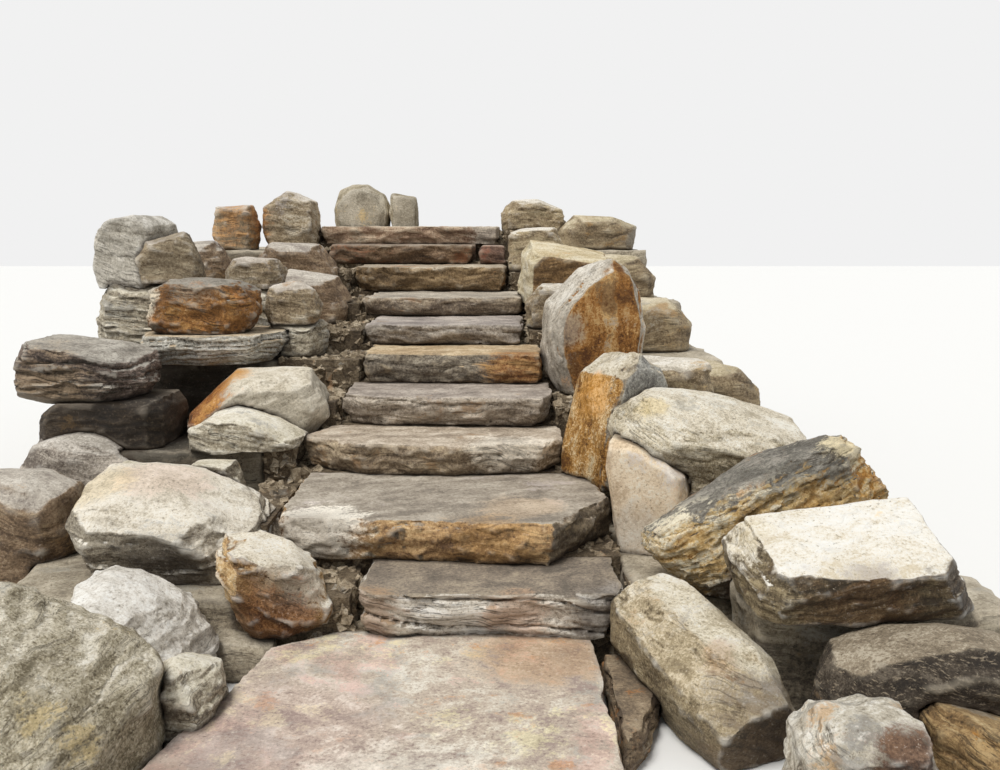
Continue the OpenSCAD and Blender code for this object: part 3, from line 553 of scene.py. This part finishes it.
# Painted shade: the face colours and the colours of the side facing front are darkened as shade.
paint(bank, "block_pale_stone", ("#dccfb6", "#f4eee1", "#f8f6f0"), ("#3d3226", "#68563f", "#9b8662"), lie,
      flow=(1.3, 12.0, 30.0), grains=0.8, rough=1.1, dirt_and_shade="#3d2f21",
      sides=(((0.1, -1.0, -0.2), ("#372d20", "#5d4d38", "#8b7859")),
             ((-0.7, -0.7, -0.15), ("#433a2c", "#74664e", "#a89877")),
             ((1.0, -0.2, 0.0), ("#39322b", "#5d5348", "#887b6b"))),
      patches=(("#e0cca6", 0.14, 4.0),),
      spots=(((0.5, 0.0, 0.1), 0.24, "#6b4a2a", 0.45),
             ((0.03, 0.5, 0.85), 0.16, ("#cab995", "#e6dac0", "#f6f0e2"), 0.9)), shift=6.8)
settle(bank, "pale_block_stone", "right_pale_block")

# The flaky slab leans on it: a dark grey layered back, a rotten face of yellow-ochre flakes and
# crumbs, a cream tip and an orange rim.
lie = (0, -24, 6)
back = ("#4c4943", "#77736a", "#a8a297")
cream = ("#a8783a", "#dfbd80", "#fbf2d8")
ochre = ("#9a682b", "#d6ab63", "#f8e9c4")
bank = dress("right_flaky_slab", "right_flaky_slab_laid", 0.007, turn=lie, swell=0.010,
             scallop=(0.055, 0.014), beds=(0.028, 0.010), blocks=0.5, soft=1)
paint(bank, "slab_flaky_stone", ("#534f48", "#7f7a70", "#aca699"), ("#b08a52", "#e0c48e", "#f7edd3"), lie,
      flow=(6.0, 12.0, 34.0), seams=0.4, rough=1.8, hollows=0.4, dirt_and_shade="#59402a",
      sides=(((1.0, -0.2, 0.3), ("#9b6a2b", "#c8944a", "#e2c08a")),),
      patches=(("#f4ead0", 0.5, 6.0), ("#b57c34", 0.35, 7.0)),
      spots=(((0.28, 0.55, 0.80), 0.20, back, 0.95),
             ((0.52, 0.35, 1.0), 0.22, back, 0.95),
             ((0.72, 0.25, 0.95), 0.16, back, 0.95),
             ((0.30, 0.0, 0.0), 0.14, ("#4c463d", "#7d7569", "#b3ab9d"), 0.9),
             ((0.15, 0.1, 0.30), 0.17, cream, 0.85),
             ((0.42, 0.0, 0.46), 0.17, cream, 0.85),
             ((0.68, 0.0, 0.52), 0.17, ochre, 0.85),
             ((0.90, 0.1, 0.55), 0.14, ochre, 0.85),
             ((0.80, 0.35, 1.0), 0.13, "#ecdcb6", 0.8)), shift=8.5)
settle(bank, "flaky_ochre_stone", "right_flaky_slab")

# A smooth slab between tread 2 and the bank, split along its bed and set on edge. It is tan and
# pink, with a grey cast at its foot.
lie = (82, 6, -18)
bank = dress("right_upright_slab", "right_upright_slab_laid", 0.010, turn=lie, swell=0.012,
             scallop=(0.2, 0.008), beds=(0.06, 0.006), grit=0.0025)
paint(bank, "upright_tan_stone", ("#c9b295", "#efdcc0", "#f8f2e2"), ("#c2aa8c", "#ead4b4", "#f8eed8"), lie,
      flow=(5.0, 1.6, 8.0), seams=0.15, rough=0.6, patches=(("#c9bfb9", 0.35, 2.2), ("#dcb98e", 0.25, 3.0)),
      spots=(((0.3, 0.2, 0.1), 0.22, "#b8b0a8", 0.4),), shift=10.2)
settle(bank, "smooth_tan_stone", "right_upright_slab")

# The broad speckled slab above it, laid in the bank at a slight tilt. It is cream and grey, with a
# coarse grain and a few open seams.
lie = (10, 12, -4)
bank = dress("right_speckled_slab", "right_speckled_slab_laid", 0.010, turn=lie, scallop=(0.2, 0.018),
             beds=(0.07, 0.012), grit=0.005)
paint(bank, "slab_speckled_stone", ("#b8ac95", "#e6dbc5", "#f8f4e8"), ("#8f8269", "#cfc2a6", "#f3ead5"), lie,
      grains=1.2, seams=0.6, rough=1.4, specks=0.55, hollows=0.5,
      patches=(("#cdb78a", 0.2, 3.4), ("#a39c8d", 0.3, 4.0)),
      spots=(((0.2, 0.3, 0.9), 0.10, "#d6ba70", 0.45),), shift=11.9)
settle(bank, "speckled_stone", "right_speckled_slab")

# A slab that leans in over treads 3 and 4. The ridge between its two faces is towards the flight:
# the left face is vivid ochre, the right one grey, and the arris shows white.
lie = (86, 0, 36)
bank = dress("right_leaning_slab", "right_leaning_slab_laid", 0.009, turn=lie, swell=0.010,
             scallop=(0.14, 0.010), beds=(0.05, 0.008))
paint(bank, "leaning_faced_stone", ("#8a6a44", "#b39468", "#e2d6bd"), ("#5b544a", "#8b8478", "#bab3a6"), lie,
      flow=(13.0, 2.2, 8.0), seams=0.3, grains=0.8, rough=1.2,
      sides=(((-1.0, -0.35, 0.0), ("#64401b", "#b58643", "#efdcb4")),
             ((0.75, -0.65, 0.1), ("#676460", "#9d9b94", "#d1d0ca")),
             ((-0.1, 0.0, 1.0), ("#a99b82", "#d3c8b2", "#f1ebdd"))),
      patches=(("#5b3c1f", 0.3, 5.0), ("#e8cf9f", 0.25, 7.0)),
      spots=(((0.2, 0.3, 0.72), 0.15, "#d1943f", 0.6),), shift=13.6)
settle(bank, "orange_faced_stone", "right_leaning_slab")

# The pointed slab: a tall leaf of stone on edge. Its front is a rust-orange seam face with streaks
# that run down it, and the bevel along its left side is white and grey.
lie = (84, 0, 12)
bank = dress("right_pointed_slab", "right_pointed_slab_laid", 0.010, turn=lie, swell=0.014,
             scallop=(0.2, 0.012), beds=(0.06, 0.010))
paint(bank, "pointed_faced_stone", ("#5c381a", "#a9753a", "#dcb880"), ("#9d9484", "#cfc7b8", "#f4f0e7"), lie,
      flow=(15.0, 1.8, 6.0), seams=0.3, rough=1.2, specks=0.6,
      patches=(("#a0968a", 0.28, 3.0), ("#dcb478", 0.32, 6.0), ("#4a2b15", 0.44, 3.6)),
      sides=(((-0.95, -0.4, 0.4), ("#8f877a", "#c6bdae", "#efe9dd")),),
      spots=(((0.22, 0.0, 0.5), 0.13, "#a79e90", 0.6), ((0.16, 0.0, 0.12), 0.09, "#b8792f", 0.6)), shift=15.3)
settle(bank, "orange_faced_stone", "right_pointed_slab")

# The square block by tread 8, laid nearly flat. It was split buff on top and on its left bevel,
# and is brown in front.
lie = (8, 0, 4)
bank = dress("right_square_block", "right_square_block_laid", 0.012, turn=lie, scallop=(0.14, 0.010),
             beds=(0.06, 0.009))
paint(bank, "block_buff_stone", ("#ab9772", "#d0bf9a", "#ebe1c8"), ("#5e4832", "#95764f", "#bf9f73"), lie,
      flow=(1.3, 10.0, 24.0), sides=(((-0.85, -0.35, 0.4), ("#b3a07c", "#d8cbaa", "#efe7d2")),),
      patches=(("#b98d50", 0.2, 4.0),), shift=17.0)
settle(bank, "buff_stone", "right_square_block")

# Smaller stones fill the right bank upwards: a speckled one behind the flaky slab, a white wedge by
# tread 7, a layered one by tread 8 and the top stone.
bank = dress("right_upper_stones", "right_upper_stones_set", 0.013, scallop=(0.15, 0.014), beds=(0.05, 0.012))
paint(bank, "upper_right_stone", ("#aca393", "#d8cfbf", "#f5f0e6"), ("#6b5c47", "#a59274", "#d3c29f"),
      patches=(("#b89458", 0.3, 3.0), ("#8f897e", 0.3, 2.6)), grains=0.8, shift=18.7)
settle(bank, "pale_boulder_stone", "right_upper_stones")

# Four plain boulders close the outer side of the right bank. They are tan, with ochre and grey
# patches, and laid dry.
bank = dress("right_outer_stones", "right_outer_stones_set", 0.018, scallop=(0.24, 0.020), beds=(0.07, 0.012))
paint(bank, "outer_right_stone", ("#9b8d71", "#c2b495", "#e0d5bd"), ("#5a4b39", "#8d7b60", "#b8a686"),
      patches=(("#94703e", 0.3, 2.4), ("#8b857a", 0.3, 2.0)), shift=20.4)
settle(bank, "buff_stone", "right_outer_stones")

# The left bank starts with the largest boulder, rough and grey-cream with ochre patches, whose round
# top slopes towards the flight.
lie = (12, -18, -8)
bank = dress("left_front_boulder", "left_front_boulder_laid", 0.011, turn=lie, swell=0.018,
             scallop=(0.22, 0.022), beds=(0.06, 0.010), grit=0.006)
paint(bank, "front_grey_stone", ("#a69c86", "#d6ccb7", "#f5efe1"), ("#736953", "#ada289", "#ded4bd"), lie,
      grains=1.2, seams=0.5, rough=1.5, specks=0.6,
      patches=(("#bda878", 0.22, 3.0), ("#8a8679", 0.35, 2.4)), shift=22.1)
settle(bank, "grey_boulder_stone", "left_front_boulder")

# The corner boulder beside tread 1: cream on top, a granular ochre facet on its left, a brown scoop
# under a golden ridge in front, and dark rust at its foot.
lie = (0, 18, 14)
bank = dress("left_rusty_corner", "left_rusty_corner_laid", 0.008, turn=lie, swell=0.012,
             scallop=(0.2, 0.030), beds=(0.06, 0.010), grit=0.005)
paint(bank, "corner_rusty_stone", ("#c4b79f", "#f0e6d2", "#f8f5ed"), ("#583d26", "#a07c50", "#dcbd8c"), lie,
      grains=0.9, rough=1.3, seams=0.4,
      sides=(((-0.95, -0.4, 0.0), ("#bb8f5c", "#e6c48f", "#f6e9c9")),),
      spots=(((0.80, 0.1, 0.72), 0.19, ("#a59a88", "#d6ccb9", "#f2ebdc"), 0.85),
             ((0.58, 0.0, 0.58), 0.09, "#dcc095", 0.5),
             ((0.55, 0.0, 0.14), 0.25, ("#371f12", "#6a4122", "#9f6c3c"), 0.85)), shift=23.8)
settle(bank, "rusty_boulder_stone", "left_rusty_corner")

# The wavy boulder: pale grey-white, its skin in shallow ripples, with a dark underside. It is laid
# dry, with its beds at a slight tilt.
lie = (10, 10, -10)
bank = dress("left_wavy_boulder", "left_wavy_boulder_laid", 0.009, turn=lie, scallop=(0.11, 0.016),
             beds=(0.035, 0.007), wander=1.2)
paint(bank, "wavy_pale_stone", ("#b0a99d", "#dfd9cf", "#f8f6f0"), ("#9a9284", "#d5cdc0", "#f6f1e6"), lie,
      patches=(("#9d978c", 0.35, 3.0),), seams=0.35, shift=25.5)
settle(bank, "pale_boulder_stone", "left_wavy_boulder")

# The broad boulder over it: pale cream with a pink cast in its middle and a yellow one at its left,
# and thin dark beds where its front lip hangs over. Its foot below the lip is painted dark as shade.
lie = (16, 0, 0)
bank = dress("left_broad_boulder", "left_broad_boulder_laid", 0.009, turn=lie, swell=0.018,
             scallop=(0.22, 0.014), beds=(0.032, 0.016), blocks=0.4)
paint(bank, "broad_pale_stone", ("#bfb4a0", "#e9e0cf", "#f8f4ea"), ("#4b4238", "#8b8170", "#c0b6a3"), lie,
      grains=0.8, seams=0.7, patches=(("#b7ada0", 0.3, 2.6),),
      spots=(((0.40, 0.5, 0.9), 0.24, "#d3b8a3", 0.5), ((0.10, 0.4, 0.8), 0.20, "#d2bd92", 0.5),
             ((0.5, 0.0, 0.05), 0.26, "#2f2823", 0.7)), shift=27.2)
settle(bank, "pale_boulder_stone", "left_broad_boulder")

# Low stones of the left bank, from the foot up: a cream-topped one with a dark layered face, small
# pale ones beside treads 2 and 3, and the three that carry others higher up.
lie = (4, 6, 0)
bank = dress("left_small_stones", "left_small_stones_set", 0.010, turn=lie, scallop=(0.14, 0.014),
             beds=(0.030, 0.012), blocks=0.5)
paint(bank, "small_layered_stone", ("#b3a991", "#dfd7c3", "#f5f0e3"), ("#6c6253", "#b8ad97", "#ebe5d4"), lie,
      seams=0.9, patches=(("#a08252", 0.25, 3.0), ("#8d8a84", 0.3, 3.0)), shift=28.9)
settle(bank, "pale_boulder_stone", "left_small_stones")

# The sloping boulder by tread 4: a cream ridge, a rust-orange left end and a smooth grey-beige
# face. It is laid dry, as its neighbours are.
lie = (8, -22, 12)
bank = dress("left_sloping_boulder", "left_sloping_boulder_laid", 0.009, turn=lie, scallop=(0.24, 0.012),
             beds=(0.07, 0.006), grit=0.0025)
paint(bank, "sloping_rusty_stone", ("#b2a792", "#dbd1bd", "#f2ecdf"), ("#958c7c", "#beb5a3", "#ddd4c2"), lie,
      seams=0.2, spots=(((0.26, 0.4, 0.8), 0.19, ("#8f5d27", "#c98f48", "#ecd2a2"), 0.85),
                        ((0.02, 0.3, 0.3), 0.38, ("#4c280c", "#935618", "#cb9248"), 0.95)), shift=30.6)
settle(bank, "rusty_boulder_stone", "left_sloping_boulder")

# Two rounded stones at the mouth of the hollow, one grey-tan and worn, and the tan-grey one behind
# it that bears the layered boulder. That one is painted dark as shade under the layered boulder, and
# nearly black towards its end in the hollow.
bank = dress("left_low_boulder", "left_low_boulder_laid", 0.012, turn=(0, 8, 0), scallop=(0.22, 0.014),
             beds=(0.07, 0.006))
paint(bank, "low_grey_stone", ("#a59d91", "#d3cbc0", "#f4efe6"), ("#70665d", "#aea497", "#ddd2c5"), (0, 8, 0),
      grains=0.8, patches=(("#ab9d84", 0.25, 3.0),),
      spots=(((0.85, 0.1, 0.2), 0.14, "#b0955c", 0.5),), shift=32.3)
settle(bank, "grey_boulder_stone", "left_low_boulder")
bank = dress("left_bearing_boulder", "left_bearing_boulder_laid", 0.011, scallop=(0.2, 0.014),
             beds=(0.06, 0.008))
# Painted shade: dark colours, and a near-black patch towards the right end, in the hollow.
paint(bank, "bearing_grey_stone", ("#5d5347", "#82786a", "#aa9f90"), ("#2b241d", "#473d32", "#6e6253"),
      patches=(("#7d6442", 0.3, 3.0),),
      spots=(((0.80, 0.1, 0.5), 0.42, ("#15110e", "#2b241d", "#483d31"), 0.9),),
      shift=34.0)
settle(bank, "grey_boulder_stone", "left_bearing_boulder")

# The layered boulder on top of them: dark grey beds over a tan lower side, laid nearly flat and
# weathered into wavy ledges.
lie = (0, 5, 0)
bank = dress("left_layered_boulder", "left_layered_boulder_laid", 0.010, turn=lie, scallop=(0.2, 0.016),
             beds=(0.036, 0.022), wander=1.0, blocks=0.2)
paint(bank, "layered_dark_schist", ("#7b756c", "#a49d92", "#cdc7bb"), ("#332b25", "#66584f", "#9e8c80"), lie,
      seams=1.0, flow=(1.6, 6.0, 40.0), dirt_and_shade="#241f1a", patches=(("#85766a", 0.3, 2.4),),
      spots=(((0.35, 0.2, 0.1), 0.30, "#a08a6c", 0.6),), shift=35.7)
settle(bank, "dark_schist", "left_layered_boulder")

# The cave slab bridges the hollow and is laid with its beds flat. Thin dark layers show at its
# edge, and its top is tan and worn.
lie = (0, -2, 0)
bank = dress("left_cave_slab", "left_cave_slab_laid", 0.009, turn=lie, swell=0.008, scallop=(0.2, 0.010),
             beds=(0.024, 0.018), wander=1.2, blocks=0.2)
paint(bank, "cave_dark_schist", ("#8e7c64", "#bba78a", "#dfd2b9"), ("#5e5a52", "#bbb6aa", "#efece3"), lie,
      seams=0.85, hollows=0.5, flow=(1.6, 6.0, 44.0), dirt_and_shade="#1f1b17", shift=37.4)
settle(bank, "dark_schist", "left_cave_slab")

# The rusty boulder, laid on the cave slab: a rust-orange broken face under a grey top, and a cream
# left end.
bank = dress("left_rusty_boulder", "left_rusty_boulder_laid", 0.010, scallop=(0.11, 0.020),
             beds=(0.05, 0.012), blocks=0.3)
paint(bank, "rusty_face_stone", ("#7d776c", "#a29b8e", "#c8c1b3"), ("#5f4024", "#a4733e", "#d9ab6c"),
      seams=0.9, rough=1.4, specks=0.6, flow=(5.0, 6.0, 20.0),
      patches=(("#b87a42", 0.4, 5.0), ("#a29a8c", 0.42, 4.0), ("#52331d", 0.45, 5.5)),
      spots=(((0.04, 0.2, 0.6), 0.13, "#e9dfc9", 0.8), ((0.5, 0.3, 1.0), 0.22, "#958e83", 0.6)), shift=39.1)
settle(bank, "rusty_boulder_stone", "left_rusty_boulder")

# The high boulder behind them. It is white and pale grey with a few yellowish patches, and laid
# dry.
lie = (0, 12, -10)
bank = dress("left_high_boulder", "left_high_boulder_laid", 0.013, turn=lie, scallop=(0.2, 0.016))
paint(bank, "high_pale_stone", ("#a8a296", "#d5cfc4", "#f4f1ea"), ("#847d70", "#b9b2a4", "#e0d9cc"), lie,
      patches=(("#a99a78", 0.2, 3.0),), shift=40.8)
settle(bank, "pale_boulder_stone", "left_high_boulder")

# Smaller stones above the hollow and by the top treads: layered cream and grey ones, a grey-brown
# one beside the high boulder and one with an ochre-orange face.
bank = dress("left_upper_stones", "left_upper_stones_set", 0.011, turn=(0, 4, 0), scallop=(0.14, 0.014),
             beds=(0.05, 0.006), blocks=0.1)
paint(bank, "upper_left_stone", ("#aa9f92", "#cfc5b7", "#efe9de"), ("#6b5c48", "#ad9b7e", "#e4d9c3"),
      (0, 4, 0), seams=0.6, patches=(("#9a7448", 0.26, 3.4), ("#b3a9a0", 0.3, 2.6)),
      spots=(((0.14, 0.85, 0.66), 0.30, ("#6d4322", "#a9713a", "#d6a468"), 0.9),
             ((0.29, 0.09, 0.45), 0.34, ("#574b3c", "#877861", "#b8a88b"), 0.85)), shift=42.5)
settle(bank, "pale_boulder_stone", "left_upper_stones")

# Four stones close the outer side of the left bank: a flat-topped one at the front, grey with a lilac
# cast and rusty in front, and three plain ones behind.
bank = dress("left_outer_stones", "left_outer_stones_set", 0.015, turn=(8, 0, 0), scallop=(0.22, 0.016),
             beds=(0.06, 0.010))
paint(bank, "outer_left_stone", ("#978d84", "#c0b7aa", "#e3dcd0"), ("#574636", "#8b745b", "#b59f83"),
      (8, 0, 0), patches=(("#9c7d55", 0.3, 2.4),), shift=44.2)
settle(bank, "grey_boulder_stone", "left_outer_stones")

# Two stones stand behind the top tread with their beds on edge: a round grey one with a cream vein
# down it, and a block.
lie = (84, 0, 8)
bank = dress("top_stones", "top_stones_set", 0.012, turn=lie, scallop=(0.2, 0.012), beds=(0.07, 0.006))
paint(bank, "top_grey_stone", ("#8f8777", "#b7ae9c", "#dad2c2"), ("#80755f", "#aa9e86", "#d0c5ae"), lie,
      patches=(("#c2a873", 0.25, 2.4),), spots=(((0.62, 0.1, 0.6), 0.10, "#e4dcc8", 0.6),), shift=45.9)
settle(bank, "pale_boulder_stone", "top_stones")

# The hidden walls: five courses of squared rubble stones, laid dry round the core, that carry the
# banks and close the back. Courses 2 and 3 are painted nearly black in the hollow, as shade.
for number in range(1, 6):
    node = f"base_course_{number}"
    wall = dress(node, f"wall_course_{number}", 0.030, keep=0.3, swell=0.016,
                 scallop=(0.16, 0.022), beds=(0.08, 0.012), blocks=0.3)
    hollow_shade = (((0.22, 0.08, 0.5), 0.65, "#1c1814", 0.9),) if number in (2, 3) else ()
    paint(wall, node + "_stone", ("#857b6b", "#aea38f", "#d2c8b5"), ("#5f564a", "#998d79", "#c6baa3"),
          patches=(("#8a6a42", 0.3, 2.4), ("#8a867d", 0.35, 2.0)), spots=hollow_shade, shift=5.3 * number)
    settle(wall, "bank_wall_stone", node)

# The core: grit and broken stone, packed in benches behind the slabs. Where a bench is not covered
# by a slab or a boulder, its packing stones show.
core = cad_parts["rubble_core"]
browns = ("#4a3f33", "#6f604c", "#988870")
paint(core, "rubble_grit", browns, browns, flow=(9, 9, 9), grains=1.0, rough=2.5)
chance = np.random.default_rng(5)
KINDS = 8
PER_SQUARE_METRE = 420
pebbles = []
for kind in range(KINDS):
    bpy.ops.object.select_all(action="DESELECT")
    bpy.ops.mesh.primitive_cube_add(size=1.25)
    pebble = bpy.context.object
    bpy.ops.object.mode_set(mode="EDIT")
    bpy.ops.transform.vertex_random(offset=0.35, seed=kind + 1)
    bpy.ops.mesh.convex_hull()
    bpy.ops.object.mode_set(mode="OBJECT")
    pebbles.append(([tuple(corner.co) for corner in pebble.data.vertices],
                    [tuple(side.vertices) for side in pebble.data.polygons]))
    bpy.data.objects.remove(pebble)
cover = BVHTree.FromPolygons(*surroundings("rubble_core"))
corners, faces = [], []
for bench in core.data.polygons:
    a, b, c = (core.data.vertices[i].co for i in bench.vertices)
    if bench.normal.z < -0.5 or bench.normal.y > 0.5 or bench.area < 1e-5:
        continue
    for _ in range(chance.poisson(bench.area * PER_SQUARE_METRE)):
        u, v = sorted(chance.uniform(0, 1, 2))
        spot = a * u + b * (v - u) + c * (1 - v)
        size = 0.022 + 0.030 * chance.uniform() ** 2
        if cover.ray_cast(spot + bench.normal * 0.002, bench.normal, size * 1.2)[0] or (
                cover.find_nearest(spot)[3] < size * 0.35):
            continue
        turn = Euler(chance.uniform(0, 2 * math.pi, 3)).to_matrix()
        shares, sides = pebbles[chance.integers(KINDS)]
        faces += [[i + len(corners) for i in side] for side in sides]
        corners += [spot - bench.normal * size * 0.3 + turn @ Vector((x * size, y * size, z * size * 0.6))
                    for x, y, z in shares]
for corner in corners:
    corner.z = max(corner.z, 0.0)
mesh = bpy.data.meshes.new("packing")
mesh.from_pydata(corners, [], faces)
packing = bpy.data.objects.new("packing_stones", mesh)
bpy.context.scene.collection.objects.link(packing)
tans = ("#6b5e4d", "#a09078", "#d0c2aa")
paint(packing, "packing_stone", tans, tans, flow=(9, 9, 9),
      patches=(("#8a6542", 0.3, 6.0), ("#85817a", 0.35, 5.0)))
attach(packing, "root")

# The stand: a plain pale floor, a soft lamp from high in front and to the left, and a pale
# surround, which the camera and the gloss see brighter than it lights the stones.
bpy.ops.object.select_all(action="DESELECT")
bpy.ops.mesh.primitive_plane_add(size=90, location=(0, 3, 0))
floor = bpy.context.object
floor.name = "floor"
pale_floor = bpy.data.materials.new("pale_floor")
pale_floor.use_nodes = True
pale_floor.node_tree.nodes["Principled BSDF"].inputs["Base Color"].default_value = (0.84, 0.84, 0.83, 1)
pale_floor.node_tree.nodes["Principled BSDF"].inputs["Roughness"].default_value = 0.9
floor.data.materials.append(pale_floor)

world = bpy.data.worlds.new("surround")
bpy.context.scene.world = world
world.use_nodes = True
air = Wire(world.node_tree)
soft = world.node_tree.nodes["Background"]
soft.inputs["Color"].default_value = (0.96, 0.98, 1.0, 1)
soft.inputs["Strength"].default_value = 0.5
plain = air.node("Background", {"Color": (0.88, 0.88, 0.88, 1), "Strength": 1.0})
path = world.node_tree.nodes.new("ShaderNodeLightPath")
to_camera = Wire(world.node_tree, path.outputs["Is Camera Ray"])
in_gloss = Wire(world.node_tree, path.outputs["Is Glossy Ray"])
both = air.node("MixShader", {0: to_camera + in_gloss, 1: Wire(world.node_tree, soft.outputs[0]), 2: plain})
world.node_tree.links.new(both.socket, world.node_tree.nodes["World Output"].inputs["Surface"])

bpy.ops.object.light_add(type="SUN", location=(-3.0, -3.0, 8.0),
                         rotation=(math.radians(20), math.radians(-18), 0))
lamp = bpy.context.object
lamp.data.angle = math.radians(24)
lamp.data.energy = 2.4
lamp.data.color = (1.0, 0.98, 0.94)

eye = (0.33, -3.0, 1.71)
looks_down = 8.7
bpy.ops.object.camera_add(location=eye, rotation=(math.radians(90 - looks_down), 0, 0))
camera = bpy.context.object
camera.data.lens = 36
camera.data.sensor_width = 36
bpy.context.scene.camera = camera
bpy.context.scene.view_settings.view_transform = "Standard"
